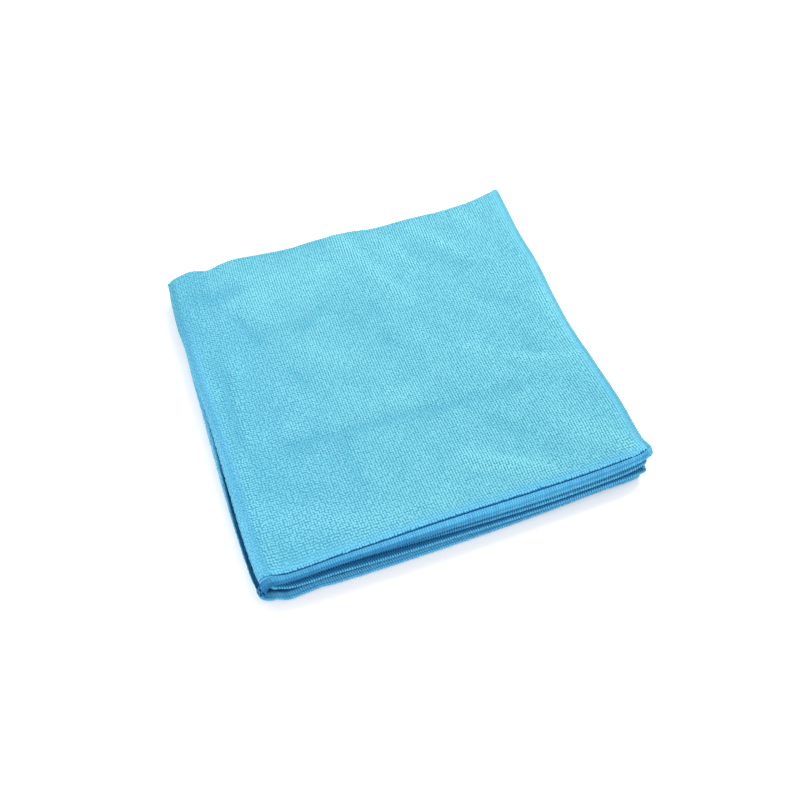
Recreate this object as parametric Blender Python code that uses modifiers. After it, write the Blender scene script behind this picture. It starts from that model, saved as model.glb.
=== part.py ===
"""A square microfibre cloth, folded in quarters and lying flat.

The cloth is one sheet with a raised hem. Its first fold lies along the far side and its last
fold along the left side, so four layers lie on each other: 1 on top, 4 on the ground. Layers 1
and 4 run round the outside of the left fold, layers 2 and 3 round the inside. The hem's four
free edges lie along the near side and the right side.

+X runs to the right along the near edge, +Y away from it, and +Z up from the ground. Metres.
"""
import math
from collections import namedtuple

import bmesh
import bpy
from mathutils import Vector

MM = 0.001

# Driving sizes.
HALF_CLOTH = 200.0 * MM     # from a fold to the free edge that lies over from it
CLOTH_THICKNESS = 3.0 * MM
PAIR_PITCH = 3.6 * MM       # from layer 1 to layer 2, and from layer 3 to layer 4
MIDDLE_PITCH = 3.8 * MM     # from layer 2 to layer 3, where they lie closest
HEM_WIDTH = 4.7 * MM        # from the edge to the groove where the hem's thread grips the pile
FOLD_SLOT = 1.2 * MM        # between the outer and the inner turn of the left fold

# The mesh: columns run across both halves of the cloth, rows along both.
FLAT_STEPS = 12
LEFT_FOLD_ANGLES = (-62, -38, -18, -2, 8, 16, 24, 38, 62)
FAR_FOLD_ANGLES = (-58, -29, 0, 29, 58)

# The hem's section: the share of the cloth's thickness at each distance from the edge.
HemRow = namedtuple("HemRow", "distance thickness")
HEM = (
    HemRow(0.0, 0.55),
    HemRow(0.9 * MM, 0.92),
    HemRow(0.7 * HEM_WIDTH, 1.0),
    HemRow(HEM_WIDTH, 0.72),
    HemRow(1.35 * HEM_WIDTH, 1.0),
)

# Where the edges lie, in millimetres. "at" runs from 0 to 1 along each edge.
NearEdge = namedtuple("NearEdge", "at layer1 layer2 layer3 layer4")   # y, left to right
NEAR_EDGES = (
    NearEdge(0.00, -100.8, -98.2, -98.4, -101.8),
    NearEdge(0.03, -103.0, -99.0, -99.8, -103.3),
    NearEdge(0.07, -104.0, -99.4, -100.8, -103.9),
    NearEdge(0.14, -103.6, -99.6, -101.3, -104.0),
    NearEdge(0.28, -102.7, -100.2, -101.9, -104.1),
    NearEdge(0.48, -103.0, -102.2, -102.9, -104.7),
    NearEdge(0.70, -103.4, -104.0, -104.2, -104.4),
    NearEdge(0.88, -103.0, -103.8, -104.2, -103.9),
    NearEdge(0.96, -102.0, -102.0, -104.4, -103.8),
    NearEdge(1.00, -99.8, -99.8, -103.0, -102.4),
)
FarEdge = namedtuple("FarEdge", "at upper lower")                    # y, left to right
FAR_EDGES = (
    FarEdge(0.00, 106.8, 102.6),
    FarEdge(0.04, 109.2, 103.6),
    FarEdge(0.10, 105.8, 104.0),
    FarEdge(0.18, 107.3, 104.2),
    FarEdge(0.34, 104.1, 103.0),
    FarEdge(0.42, 104.6, 102.4),
    FarEdge(0.52, 103.4, 102.0),
    FarEdge(0.60, 100.4, 101.2),
    FarEdge(0.71, 99.7, 99.6),
    FarEdge(0.82, 98.1, 99.0),
    FarEdge(0.92, 98.6, 98.4),
    FarEdge(1.00, 101.8, 98.6),
)
RightEdge = namedtuple("RightEdge", "at layer1 layer2 layer3 layer4")  # x, far to near
RIGHT_EDGES = (
    RightEdge(0.00, 98.8, 96.8, 95.4, 94.0),
    RightEdge(0.17, 97.4, 96.2, 95.6, 93.0),
    RightEdge(0.30, 98.1, 95.8, 95.8, 92.4),
    RightEdge(0.42, 97.0, 95.2, 95.6, 91.8),
    RightEdge(0.54, 95.8, 94.6, 95.2, 91.0),
    RightEdge(0.68, 97.3, 95.2, 95.4, 90.4),
    RightEdge(0.82, 98.6, 96.0, 96.0, 89.8),
    RightEdge(0.94, 98.4, 96.4, 96.4, 89.2),
    RightEdge(0.97, 99.9, 96.9, 96.8, 89.0),
    RightEdge(1.00, 98.8, 96.2, 96.2, 88.4),
)
LeftEdge = namedtuple("LeftEdge", "at upper lower pinch")             # x, far to near
LEFT_EDGES = (
    LeftEdge(0.00, -101.6, -100.0, 0.0),
    LeftEdge(0.05, -102.6, -101.0, 0.0),
    LeftEdge(0.15, -102.8, -101.4, 0.0),
    LeftEdge(0.22, -102.0, -101.4, 0.1),
    LeftEdge(0.32, -102.5, -102.4, 0.4),
    LeftEdge(0.42, -102.0, -102.9, 0.9),
    LeftEdge(0.54, -101.5, -103.6, 1.2),
    LeftEdge(0.68, -101.2, -103.8, 1.3),
    LeftEdge(0.82, -101.0, -103.8, 1.3),
    LeftEdge(0.93, -100.4, -103.0, 1.2),
    LeftEdge(1.00, -99.4, -101.6, 1.0),
)

# The pinch is a dent along the left fold's outer turn, a little above its middle. Angles are in
# degrees round the fold, from -90 below to 90 on top.
PINCH_ANGLE = 16
PINCH_SPREAD = 11
PINCH_THINNING = 0.22       # share of the thickness that the cloth loses in the pinch
LOWER_LOBE_END = -12        # the left edge's lower place ends here
UPPER_LOBE_START = 26       # and its upper place starts here

# Soft rises of the layers: "across" and "along" run from 0 at the left fold and the far fold to
# 1 at the free edges, spreads are in the same measure, and the rises are in millimetres.
Rise = namedtuple("Rise", "across along spread_across spread_along layer1 layer2 layer3")
RISES = (
    Rise(0.28, 1.05, 0.36, 0.22, 1.9, 1.9, 0.2),
    Rise(1.03, 1.03, 0.13, 0.10, 2.3, 0.3, 0.1),
    Rise(0.72, 1.00, 0.16, 0.14, -0.1, 0.1, 0.2),
    Rise(0.05, 0.60, 0.22, 0.30, 0.9, 0.8, 0.1),
    Rise(1.00, 0.02, 0.12, 0.14, 1.0, 0.5, 0.2),
    Rise(0.06, 0.05, 0.16, 0.16, 0.9, 0.7, 0.3),
    Rise(0.45, 0.30, 0.24, 0.16, 0.6, 0.5, 0.2),
    Rise(0.75, 0.58, 0.18, 0.26, 0.5, 0.4, 0.1),
)

CLOTH_COLOUR = (0.17, 0.62, 0.80, 1.0)
CLOTH_ROUGHNESS = 0.95

LAYERS = ("layer1", "layer2", "layer3", "layer4")

Station = namedtuple("Station", "angle share thickness")


def clear_scene():
    for obj in list(bpy.data.objects):
        bpy.data.objects.remove(obj, do_unlink=True)


def smooth_step(start, end, value):
    """0 before start, 1 after end, and an even rise between them."""
    share = min(max((value - start) / (end - start), 0.0), 1.0)
    return share * share * (3.0 - 2.0 * share)


def read_edge(table, share, column):
    """A column of an edge table at a share of the edge's length, on a smooth curve, in metres."""
    index = sum(1 for row in table[1:-1] if row.at <= share)
    start, end = table[index], table[index + 1]
    before = table[max(index - 1, 0)]
    after = table[min(index + 2, len(table) - 1)]
    span = end.at - start.at
    step = min(max((share - start.at) / span, 0.0), 1.0)
    first, second = getattr(start, column), getattr(end, column)
    slope_in = (second - getattr(before, column)) / (end.at - before.at) * span
    slope_out = (getattr(after, column) - first) / (after.at - start.at) * span
    square, cube = step * step, step**3
    value = (
        (2 * cube - 3 * square + 1) * first
        + (cube - 2 * square + step) * slope_in
        + (3 * square - 2 * cube) * second
        + (cube - square) * slope_out
    )
    return value * MM


def stations(fold_angles):
    """Stations over the whole cloth in one direction: edge, flat, fold, flat, edge.

    The angle goes from -90 to 90 round the fold, and the share from 0 at the fold to 1 at the
    free edge. The thickness is a share of the cloth's.
    """
    hem_shares = [1.0 - row.distance / HALF_CLOTH for row in HEM]
    flat_end = hem_shares[-1]
    flat_shares = [flat_end * step / FLAT_STEPS for step in range(FLAT_STEPS)]
    half = [(share, 1.0) for share in flat_shares]
    half += [(share, row.thickness) for share, row in reversed(list(zip(hem_shares, HEM)))]
    first = [Station(-90, share, thickness) for share, thickness in reversed(half)]
    middle = [Station(angle, 0.0, 1.0) for angle in fold_angles]
    last = [Station(90, share, thickness) for share, thickness in half]
    return first + middle + last


def layer_weights(across, along):
    """How much of each layer's place a point takes: 1 for its own layer, mixed in the folds."""
    top = (1.0 + math.sin(math.radians(across.angle))) / 2.0
    outer = (1.0 + math.sin(math.radians(along.angle))) / 2.0
    return (top * outer, top * (1.0 - outer), (1.0 - top) * (1.0 - outer), (1.0 - top) * outer)


def layer_heights(across, along):
    """The heights of the four layers' middles over one place, layer 1 first."""
    rises = [0.0, 0.0, 0.0]
    for rise in RISES:
        off_across = (across - rise.across) / rise.spread_across
        off_along = (along - rise.along) / rise.spread_along
        amount = math.exp(-(off_across**2) - off_along**2) * MM
        rises[0] += amount * rise.layer1
        rises[1] += amount * rise.layer2
        rises[2] += amount * rise.layer3
    layer4 = CLOTH_THICKNESS / 2.0
    layer3 = layer4 + PAIR_PITCH
    layer2 = layer3 + MIDDLE_PITCH
    layer1 = layer2 + PAIR_PITCH
    return (layer1 + rises[0], layer2 + rises[1], layer3 + rises[2], layer4)


def mixed(weights, values):
    return sum(weight * value for weight, value in zip(weights, values))


def pinch_at(angle):
    return math.exp(-(((angle - PINCH_ANGLE) / PINCH_SPREAD) ** 2))


def left_fold_x(across, along, outer, heights):
    """Where the left fold has its sheet's middle, between its outer and its inner turn."""
    upper_share = smooth_step(LOWER_LOBE_END, UPPER_LOBE_START, across.angle)
    upper = read_edge(LEFT_EDGES, along.share, "upper")
    lower = read_edge(LEFT_EDGES, along.share, "lower")
    surface = upper_share * upper + (1.0 - upper_share) * lower
    dent = read_edge(LEFT_EDGES, along.share, "pinch") * pinch_at(across.angle)
    turn = 1.0 - math.cos(math.radians(across.angle))
    outer_radius = (heights[0] - heights[3]) / 2.0
    inner_radius = (heights[1] - heights[2]) / 2.0
    outer_x = surface + dent + CLOTH_THICKNESS / 2.0 + outer_radius * turn
    inner_x = upper + 1.5 * CLOTH_THICKNESS + FOLD_SLOT + inner_radius * turn
    return outer * outer_x + (1.0 - outer) * inner_x


def sheet_point(across, along):
    """The place of the sheet's middle at one station across the cloth and one along it."""
    weights = layer_weights(across, along)
    heights = layer_heights(across.share, along.share)
    outer = weights[0] + weights[3]
    top = weights[0] + weights[1]

    fold_x = left_fold_x(across, along, outer, heights)
    right_x = mixed(weights, [read_edge(RIGHT_EDGES, along.share, name) for name in LAYERS])
    x = fold_x + across.share * (right_x - fold_x)

    far_upper = read_edge(FAR_EDGES, across.share, "upper")
    far_lower = read_edge(FAR_EDGES, across.share, "lower")
    far_radius = top * (heights[0] - heights[1]) / 2.0
    far_radius += (1.0 - top) * (heights[2] - heights[3]) / 2.0
    turn = 1.0 - math.cos(math.radians(along.angle))
    far_y = top * far_upper + (1.0 - top) * far_lower
    far_y -= CLOTH_THICKNESS / 2.0 + far_radius * turn
    near_y = mixed(weights, [read_edge(NEAR_EDGES, across.share, name) for name in LAYERS])
    y = far_y + along.share * (near_y - far_y)

    return Vector((x, y, mixed(weights, heights)))


def fabric_material():
    material = bpy.data.materials.new("microfibre")
    material.use_nodes = True
    shader = material.node_tree.nodes["Principled BSDF"]
    shader.inputs["Base Color"].default_value = CLOTH_COLOUR
    shader.inputs["Roughness"].default_value = CLOTH_ROUGHNESS
    shader.inputs["Metallic"].default_value = 0.0
    return material


def folded_sheet(collection):
    """The whole cloth as one grid, folded, with a thickness that follows the hem's section."""
    columns = stations(LEFT_FOLD_ANGLES)
    rows = stations(FAR_FOLD_ANGLES)
    steps_across, steps_along = len(columns) - 1, len(rows) - 1

    grid = bmesh.new()
    bmesh.ops.create_grid(grid, x_segments=steps_across, y_segments=steps_along, size=1.0)
    weights = {}
    for vert in grid.verts:
        across = columns[round((vert.co.x + 1.0) / 2.0 * steps_across)]
        along = rows[round((vert.co.y + 1.0) / 2.0 * steps_along)]
        thinning = PINCH_THINNING * pinch_at(across.angle)
        weights[vert.index] = min(across.thickness, along.thickness) - thinning
        vert.co = sheet_point(across, along)

    mesh = bpy.data.meshes.new("cloth")
    grid.to_mesh(mesh)
    grid.free()
    cloth = bpy.data.objects.new("cloth", mesh)
    collection.objects.link(cloth)
    thickness = cloth.vertex_groups.new(name="thickness")
    for index, weight in weights.items():
        thickness.add([index], weight, "REPLACE")
    mesh.materials.append(fabric_material())

    shell = cloth.modifiers.new("thickness", "SOLIDIFY")
    shell.thickness = CLOTH_THICKNESS
    shell.offset = 0.0
    shell.use_even_offset = True
    shell.vertex_group = thickness.name
    return cloth


def set_down(cloth):
    """Centre the cloth over the origin, with its underside on the ground."""
    bpy.context.view_layer.update()
    corners = cloth.evaluated_get(bpy.context.evaluated_depsgraph_get()).bound_box
    low = Vector([min(corner[axis] for corner in corners) for axis in range(3)])
    high = Vector([max(corner[axis] for corner in corners) for axis in range(3)])
    middle = (low + high) / 2.0
    for vert in cloth.data.vertices:
        vert.co -= Vector((middle.x, middle.y, low.z))
    cloth.data.update()


def main():
    clear_scene()
    collection = bpy.data.collections.new("folded microfibre cloth")
    bpy.context.scene.collection.children.link(collection)
    cloth = folded_sheet(collection)
    set_down(cloth)
    cloth.data.shade_smooth()


main()
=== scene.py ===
"""The looks of a square microfibre cloth, folded in quarters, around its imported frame.

The cloth is one knitted panel with a looped pile and an overlocked hem. It is drawn on its flat
sheet: "across" runs over the last fold, from the lower layers' right edge through the left fold
to the upper layers' right edge, and "along" runs over the first fold, from the near edge of the
inner layers through the far fold to the near edge of the outer layers. Both are 0 at the folds.
So layer 1, on top, has both above 0, layer 2 has along below 0, layer 3 has both below 0, and
layer 4, on the ground, has across below 0. Metres.
"""
from collections import namedtuple

import bpy
import numpy as np
from mathutils import Matrix, Vector


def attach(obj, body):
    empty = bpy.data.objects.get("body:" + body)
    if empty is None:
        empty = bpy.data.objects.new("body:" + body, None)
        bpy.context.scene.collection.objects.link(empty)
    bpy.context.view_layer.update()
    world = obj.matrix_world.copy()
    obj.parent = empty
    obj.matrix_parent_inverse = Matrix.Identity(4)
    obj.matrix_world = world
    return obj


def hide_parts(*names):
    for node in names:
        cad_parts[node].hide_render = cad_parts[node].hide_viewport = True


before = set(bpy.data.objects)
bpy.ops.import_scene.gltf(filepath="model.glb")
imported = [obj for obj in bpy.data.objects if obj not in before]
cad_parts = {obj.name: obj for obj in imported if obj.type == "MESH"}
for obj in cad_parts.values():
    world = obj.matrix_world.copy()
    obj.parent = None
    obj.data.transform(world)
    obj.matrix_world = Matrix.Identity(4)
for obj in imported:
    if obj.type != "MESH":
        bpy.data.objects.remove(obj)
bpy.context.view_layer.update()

MM = 0.001


def table(columns, *rows):
    """Rows of values, with names for their columns."""
    row_type = namedtuple("Row", columns)
    return [row_type(*row) for row in rows]


# The cloth's sizes. The pitches are between the middles of layers 1 and 2, 3 and 4, and 2 and 3.
# The folds' turns are measured on the flat sheet.
HALF_CLOTH = 200.0 * MM
CLOTH_THICKNESS = 3.0 * MM
PAIR_PITCH = 3.6 * MM
MIDDLE_PITCH = 3.8 * MM
FOLD_SLOT = 1.2 * MM            # between the left fold's outer and inner turn
LEFT_TURN = 14.0 * MM
FAR_TURN = 6.0 * MM
SET_DOWN = np.array((1.853, -1.237, 0.0)) * MM  # from the tables' middle to the frame's

# Where the edges lie, in millimetres from a middle. "at" runs from 0 to 1 along each.
# The near edges, from left to right: y of each layer, and the width of layer 1's hem as a share
# of the width that HEM gives.
NEAR_EDGES = table(
    "at layer1 layer2 layer3 layer4 hem",
    (0.00, -101.0, -95.5, -98.5, -101.5, 0.90),
    (0.03, -101.7, -96.0, -100.4, -103.7, 0.80),
    (0.07, -102.0, -97.0, -101.0, -103.5, 0.74),
    (0.11, -102.0, -97.7, -101.1, -103.1, 0.73),
    (0.15, -102.0, -98.3, -101.2, -103.7, 0.73),
    (0.28, -102.6, -101.0, -102.5, -104.4, 0.84),
    (0.48, -103.1, -102.9, -103.6, -104.7, 0.98),
    (0.70, -103.4, -104.0, -104.6, -104.3, 0.98),
    (0.88, -102.8, -103.4, -104.0, -103.1, 0.86),
    (0.96, -101.9, -102.4, -103.6, -103.1, 0.84),
    (1.00, -100.2, -100.6, -103.0, -102.4, 0.95),
)
# The far fold, from left to right: y of the upper two layers and of the lower two.
FAR_EDGES = table(
    "at upper lower",
    (0.00, 106.8, 102.6),
    (0.04, 108.0, 103.6),
    (0.09, 105.2, 104.0),
    (0.13, 107.1, 104.1),
    (0.18, 107.9, 104.2),
    (0.34, 104.4, 103.0),
    (0.42, 104.6, 102.4),
    (0.52, 103.4, 102.0),
    (0.60, 100.4, 101.2),
    (0.71, 99.7, 99.6),
    (0.82, 98.1, 99.0),
    (0.92, 98.6, 98.4),
    (1.00, 101.8, 98.6),
)
# The right edges, from far to near: x of each layer.
RIGHT_EDGES = table(
    "at layer1 layer2 layer3 layer4",
    (0.00, 98.8, 96.8, 95.4, 94.0),
    (0.17, 97.4, 96.2, 95.6, 93.0),
    (0.30, 97.9, 95.8, 95.8, 92.4),
    (0.42, 96.5, 95.0, 95.6, 91.8),
    (0.54, 95.8, 94.6, 95.2, 91.0),
    (0.68, 97.3, 95.2, 95.4, 90.4),
    (0.82, 98.8, 96.0, 96.0, 89.8),
    (0.94, 98.4, 96.0, 96.6, 89.8),
    (0.97, 99.6, 96.2, 95.8, 91.8),
    (1.00, 98.6, 96.0, 95.0, 92.4),
)
# The left fold, from far to near: x of the upper and the lower lobe, the pinch's depth between
# them, and the angle round the fold, in degrees, at which its crevice lies.
LEFT_EDGES = table(
    "at upper lower pinch crevice",
    (0.00, -101.0, -100.0, 0.0, 16),
    (0.05, -101.8, -101.0, 0.0, 16),
    (0.15, -102.5, -101.4, 0.0, 16),
    (0.22, -102.0, -101.3, 0.1, 16),
    (0.32, -102.4, -102.2, 0.4, 16),
    (0.42, -102.0, -102.6, 0.8, 19),
    (0.54, -101.6, -103.1, 1.1, 18),
    (0.68, -101.7, -103.5, 1.3, 12),
    (0.82, -101.9, -103.5, 1.5, 5),
    (0.93, -101.4, -102.9, 1.5, 3),
    (1.00, -100.2, -101.5, 1.2, 1),
)
LAYERS = ("layer1", "layer2", "layer3", "layer4")

# Round the left fold the lower lobe turns into the upper one over these angles, in degrees.
LOWER_LOBE_END = -12
UPPER_LOBE_START = 26
# The pinch is a dent along the fold between the two lobes. Angles are in degrees round the fold.
PINCH_ANGLE = 16
PINCH_SPREAD = 11
# In the pinch the outer face sinks deeper, as a crevice in painted shade with its own place and
# width.
CREVICE_SPREAD = 9
CREVICE_CUT = 0.9               # of the pinch's depth
CREVICE_SHADE = (-15, -9, 9, 16)        # where its dark starts, is full, starts to fade, and ends
CREVICE_PINCH = (0.35 * MM, 1.35 * MM)  # the pinch's depth where it starts to be dark, and is
CREVICE_FLATTENS = 0.7          # how much lower the loops are in it
# A soft line runs along the top of the outer turn: where it lies on the flat sheet from the fold,
# at shares of the way from the far edge to the near edge.
TURN_LINE_SHARES = (0.0, 0.35, 0.6, 1.0)
TURN_LINE_PLACES = (4.0 * MM, 4.4 * MM, 5.3 * MM, 6.6 * MM)
TURN_LINE_SPREAD = 1.1 * MM
TURN_LINE_CUT = 0.28 * MM
TURN_LINE_TONE = 0.7            # how much painted shade the pile gets on it
# The far fold's pile has painted shade along one line, which lies this far from the fold.
FAR_LINE = 1.2 * MM
FAR_LINE_SPREAD = 1.6 * MM
FAR_LINE_TONE = 0.45

# Soft rises of the layers over the ground, in millimetres. "across" and "along" are shares of the
# way from a fold to the free edge.
RISES = table(
    "across along spread_across spread_along layer1 layer2 layer3",
    (0.28, 1.05, 0.36, 0.22, 1.9, 1.9, 0.2),
    (1.03, 1.03, 0.13, 0.10, 2.3, 0.3, 0.1),
    (0.72, 1.00, 0.16, 0.14, -0.1, 0.1, 0.2),
    (0.05, 0.60, 0.22, 0.30, 0.9, 0.8, 0.1),
    (1.00, 0.02, 0.12, 0.14, 1.0, 0.5, 0.2),
    (0.06, 0.05, 0.16, 0.16, 0.9, 0.7, 0.3),
    (0.45, 0.30, 0.24, 0.16, 0.6, 0.5, 0.2),
    (0.75, 0.58, 0.18, 0.26, 0.5, 0.4, 0.1),
)

# Small pulls at the folded corners: the flat place that moves most, how far round it others move,
# and the move, all in millimetres.
TIPS = table(
    "across along spread_across spread_along move_x move_y move_z",
    (3.2, 0.4, 1.9, 1.1, -2.6, -0.5, 0.2),
    (200.0, -0.5, 2.0, 2.2, 0.6, 0.8, 0.4),
    (196.0, 190.0, 9.0, 7.0, 0.0, -1.6, -0.3),
)

# Creases of the top layer, in millimetres from the cloth's middle: a soft ridge, or a trough
# where the rise is below 0, from one end to the other, and its half-width. TOP_START is where the
# top layer's flat part starts at its far left, and TOP_RUN goes from there to its near right.
TOP_START = (-95.0, 98.5)
TOP_RUN = (194.0, -201.0)
CREASE_END = 2.0                # how far a crease fades out past its ends, in half-widths
CREASES = table(
    "from_x from_y to_x to_y width rise",
    (-64, -34, -34, -34, 3.4, -0.58),
    (-22, -34, 10, -35, 3.2, -0.46),
    (10, -36, 58, -36, 3.6, -0.40),
    (0, 92, 19, 46, 4.4, 0.66),
    (22, 86, 33, 66, 3.4, 0.50),
    (42, 91, 62, 64, 3.2, 0.48),
    (71, 92, 75, 82, 4.0, 0.30),
    (18, -71, 44, -86, 4.2, 0.86),
    (38, -56, 52, -76, 4.0, -0.34),
    (43, -4, 72, -23, 3.0, 0.34),
    (66, -21, 94, -31, 3.2, 0.46),
    (-71, 58, -63, 37, 2.8, -0.52),
    (-83, 78, -69, 77, 4.4, -0.66),
    (-86, 22, -90, -20, 2.3, -0.42),
    (-94, 32, -95, -26, 2.4, 0.26),
    (-92, -32, -92, -92, 2.6, 0.44),
    (-97, 72, -96, 62, 2.8, -0.46),
    (-88, 82, -86, 60, 1.8, 0.26),
    (-10, 50, -9, 34, 3.6, -0.34),
    (1, 39, 2, 36, 4.0, -0.48),
    (2, 18, 3, 15, 3.6, -0.42),
    (-39, -38, -40, -60, 2.8, -0.36),
    (71, -2, 73, -18, 4.6, -0.44),
    (66, 24, 73, 20, 3.2, -0.36),
    (43, 68, 60, 54, 6.4, -0.22),
    (-52, 12, -47, 2, 2.6, -0.34),
    (-58, 43, -40, 42, 3.4, -0.30),
    (-37, 40, -25, 48, 3.0, -0.36),
    (-60, 64, -24, 72, 13.0, 0.30),
    (-52, 82, -44, 80, 5.0, 0.30),
    (-36, 20, -33, 18, 6.0, 0.34),
    (-80, 26, -82, 4, 4.2, 0.26),
    (-84, -22, -62, -22, 5.0, 0.24),
    (-12, -22, -2, -22, 6.0, 0.28),
    (-86, -70, -54, -84, 9.0, 0.44),
    (-34, -88, -8, -86, 6.0, 0.20),
    (76, -72, 90, -88, 5.0, 0.34),
    (92, 14, 93, -12, 4.0, 0.36),
    (-48, 98, -10, 97, 3.4, -0.30),
)
LAYER_SHARES = (1.0, 0.6, 0.3)  # how much of a crease reaches layers 1, 2 and 3

# The panel's section: half its thickness at each distance from the edge, without pile and thread,
# in millimetres. Only the near edges have a groove.
HEM = table(
    "distance near right",
    (0.0, 0.0, 0.0),
    (0.12, 0.58, 0.52),
    (0.30, 0.86, 0.80),
    (0.50, 0.90, 0.86),
    (0.85, 1.00, 1.00),
    (1.6, 1.04, 1.08),
    (3.0, 1.08, 1.14),
    (4.0, 1.02, 1.16),
    (4.35, 0.62, 1.17),
    (4.70, 0.20, 1.18),
    (5.10, 0.20, 1.18),
    (5.45, 0.66, 1.18),
    (5.75, 1.04, 1.18),
    (6.2, 1.28, 1.18),
    (7.4, 1.26, 1.16),
    (9.0, 1.14, 1.14),
)
HEM_END = 7.0 * MM              # layer 1's near hem has the uneven width of NEAR_EDGES up to here
HEM_EVENED = 16.0 * MM          # and from here on it makes no difference
GROOVE = 4.92 * MM              # from the edge to the middle of the groove's dark line
GROOVE_SHADE = 0.80 * MM        # half-width of that line
GROOVE_FADE = (4.0 * MM, 14.0 * MM)     # from the left fold, over which the groove comes in
BITE_END = 6.9 * MM             # from the edge, up to where the ground is dark behind the stitches
BITE_SHADE = 0.75
SHOULDER = 0.50 * MM            # from the edge, where the threads dip before the rim
SHOULDER_SHADE = 0.22 * MM
FLAT_STEP = 3.0 * MM            # between the mesh's rows, on the flat and round a fold
FOLD_STEP = 0.28 * MM
NORMAL_STEP = 0.1 * MM          # to each side, to find which way the sheet runs at a place

# The pile: loops in wales, which run from far to near, and courses, which run across them. Round
# a fold, where the outer face is longer than the flat sheet, there are more of them.
WALE_PITCH = 1.35 * MM
COURSE_PITCH = 1.31 * MM
FOLD_WALES = 16
FOLD_COURSES = 8
UPPER_PARTS = 3                 # the upper layers' pile is this many meshes, side by side
# Each loop is a small tuft of these sizes, with these differences from one to the next.
LOOP_HEIGHT = 0.50 * MM
LOOP_HEIGHT_RANGE = (0.88, 1.12)
LOOP_SINK = 0.18 * MM           # how deep its root is in the panel
LOOP_LEFT = 0.70                # the height at the left fold, as a share of the full height
LOOP_FULL = 170.0 * MM          # from the left fold, where the height is full
LOOP_HALF_WIDTH = (0.54, 0.68)  # half its size across, in wales
LOOP_HALF_LENGTH = (0.56, 0.70)         # half its size along, in courses
LOOP_SHIFT = 0.12               # from its place, in wales and courses
LOOP_TURN = 0.22                # in radians
LOOP_LEAN = 0.12 * MM
LOOP_LEAN_NEAR = 0.06 * MM      # all of them lean this far, away from the far edge
# To the right of the left fold the loops start to join in ribs, and further on they all do: from
# one place at the far fold, and from another at the near edge.
RIBS_START = 10.0 * MM
RIBS_FULL = (40.0 * MM, 120.0 * MM)
RIB_NARROWS = 0.10              # how much narrower and longer the loops are in a rib
RIB_LENGTHENS = 0.36
RIB_STEADIES_ACROSS = 0.7       # and how much less each one is shifted
RIB_STEADIES_ALONG = 0.2
# The hem presses the pile flat. Distances are from the edge.
PILE_START_NEAR = 6.15 * MM
PILE_FULL_NEAR = 8.8 * MM
PILE_START_RIGHT = 2.5 * MM
PILE_FULL_RIGHT = 6.0 * MM
PRESSED_HEIGHT = 0.28           # of a loop's full height
# The left fold's outer turn has painted bluish light: fully up to the first distance from the
# fold and no more from the second. It comes in between two shares of the way to the near edge.
RIDGE_END = (5.5 * MM, 9.0 * MM)
RIDGE_SHARES = (0.05, 0.35)
RIDGE_PAINTED_LIGHT = 0.8
# Along the near hem the pile is bluer, less and less up to this far from the edge.
NEAR_FLEECE_END = 11.5 * MM
# Along the right hem, at shares of the way from the far edge to the near edge: how blue pile and
# threads are, how much painted light the threads get, and how much lighter the pile is.
RIGHT_SHARES = (0.0, 0.5, 0.75, 1.0)
RIGHT_FLEECE = (0.20, 0.10, 0.45, 0.50)
RIGHT_LIGHT = (0.80, 0.90, 0.70, 0.60)
RIGHT_TONE = (-0.05, 0.0, -0.30, -0.35)
RIGHT_RIM = 0.75                # the light of the threads' rim there, as a share of their own
MIDDLE_TONE = 0.5               # between the darkest and the lightest
TONE_SPREAD = 0.13              # how much one loop is lighter or darker than the next
TONE_BY_RELIEF = 1.1 / MM       # how much painted light the pile gets on a ridge, and painted shade in a trough
MOTTLE_WAVES = 9                # soft light and dark patches, as waves over the flat sheet
MOTTLE_LENGTHS = (9.0 * MM, 38.0 * MM)
MOTTLE = 0.09
# Each tuft's sides, and its rings' widths and heights, in shares of the loop's.
FINE_TUFT = (6, ((1.0, 0.0), (0.84, 0.70)))
PLAIN_TUFT = (4, ((1.0, 0.0),))

# The hem's stitches.
STITCH_PITCH = 1.2 * MM
FOLD_STITCH_PITCH = 0.75 * MM   # round a fold, whose outer face is longer than the flat sheet
THREAD_MARGIN = 1.2 * MM        # from a corner of the sheet to the first stitch
# Each thread goes from the groove over the edge to the other face, with beads where the finer
# threads cross it: the distance from the edge, the face (1 outer, 0 rim, -1 inner), the lift over
# the panel's surface, half the thread's width and height, in millimetres, the slant in stitches,
# and how light it is.
# The light column is painted: rows with less of it are mixed towards painted shade.
THREAD = table(
    "distance face lift half_width half_height slant light",
    (4.45, 1, -0.10, 0.18, 0.10, 0.80, 0.0),
    (4.05, 1, 0.06, 0.54, 0.24, 0.74, 0.90),
    (3.55, 1, 0.02, 0.44, 0.18, 0.50, 0.64),
    (3.05, 1, 0.12, 0.60, 0.28, 0.26, 1.0),
    (2.50, 1, 0.03, 0.46, 0.18, 0.38, 0.64),
    (1.95, 1, 0.12, 0.60, 0.28, 0.50, 1.0),
    (1.40, 1, 0.03, 0.46, 0.18, 0.30, 0.64),
    (0.85, 1, 0.06, 0.50, 0.24, 0.06, 0.85),
    (0.50, 1, -0.04, 0.34, 0.18, 0.06, 0.45),
    (0.16, 1, 0.10, 0.50, 0.30, 0.02, 0.9),
    (0.0, 0, 0.22, 0.55, 0.46, 0.0, 1.0),
    (0.16, -1, 0.10, 0.50, 0.30, 0.02, 0.9),
    (0.50, -1, -0.04, 0.34, 0.18, 0.06, 0.45),
    (0.85, -1, 0.04, 0.46, 0.22, 0.12, 0.8),
    (2.4, -1, 0.10, 0.62, 0.26, 0.30, 1.0),
    (4.45, -1, -0.10, 0.16, 0.10, 0.80, 0.0),
)
RIGHT_REACH = 0.5               # of the rows' distances, for the narrower hem on the right
THREAD_UNEVEN = 0.07            # how much width, height and light differ from thread to thread
THREAD_SIDES = 5
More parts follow.
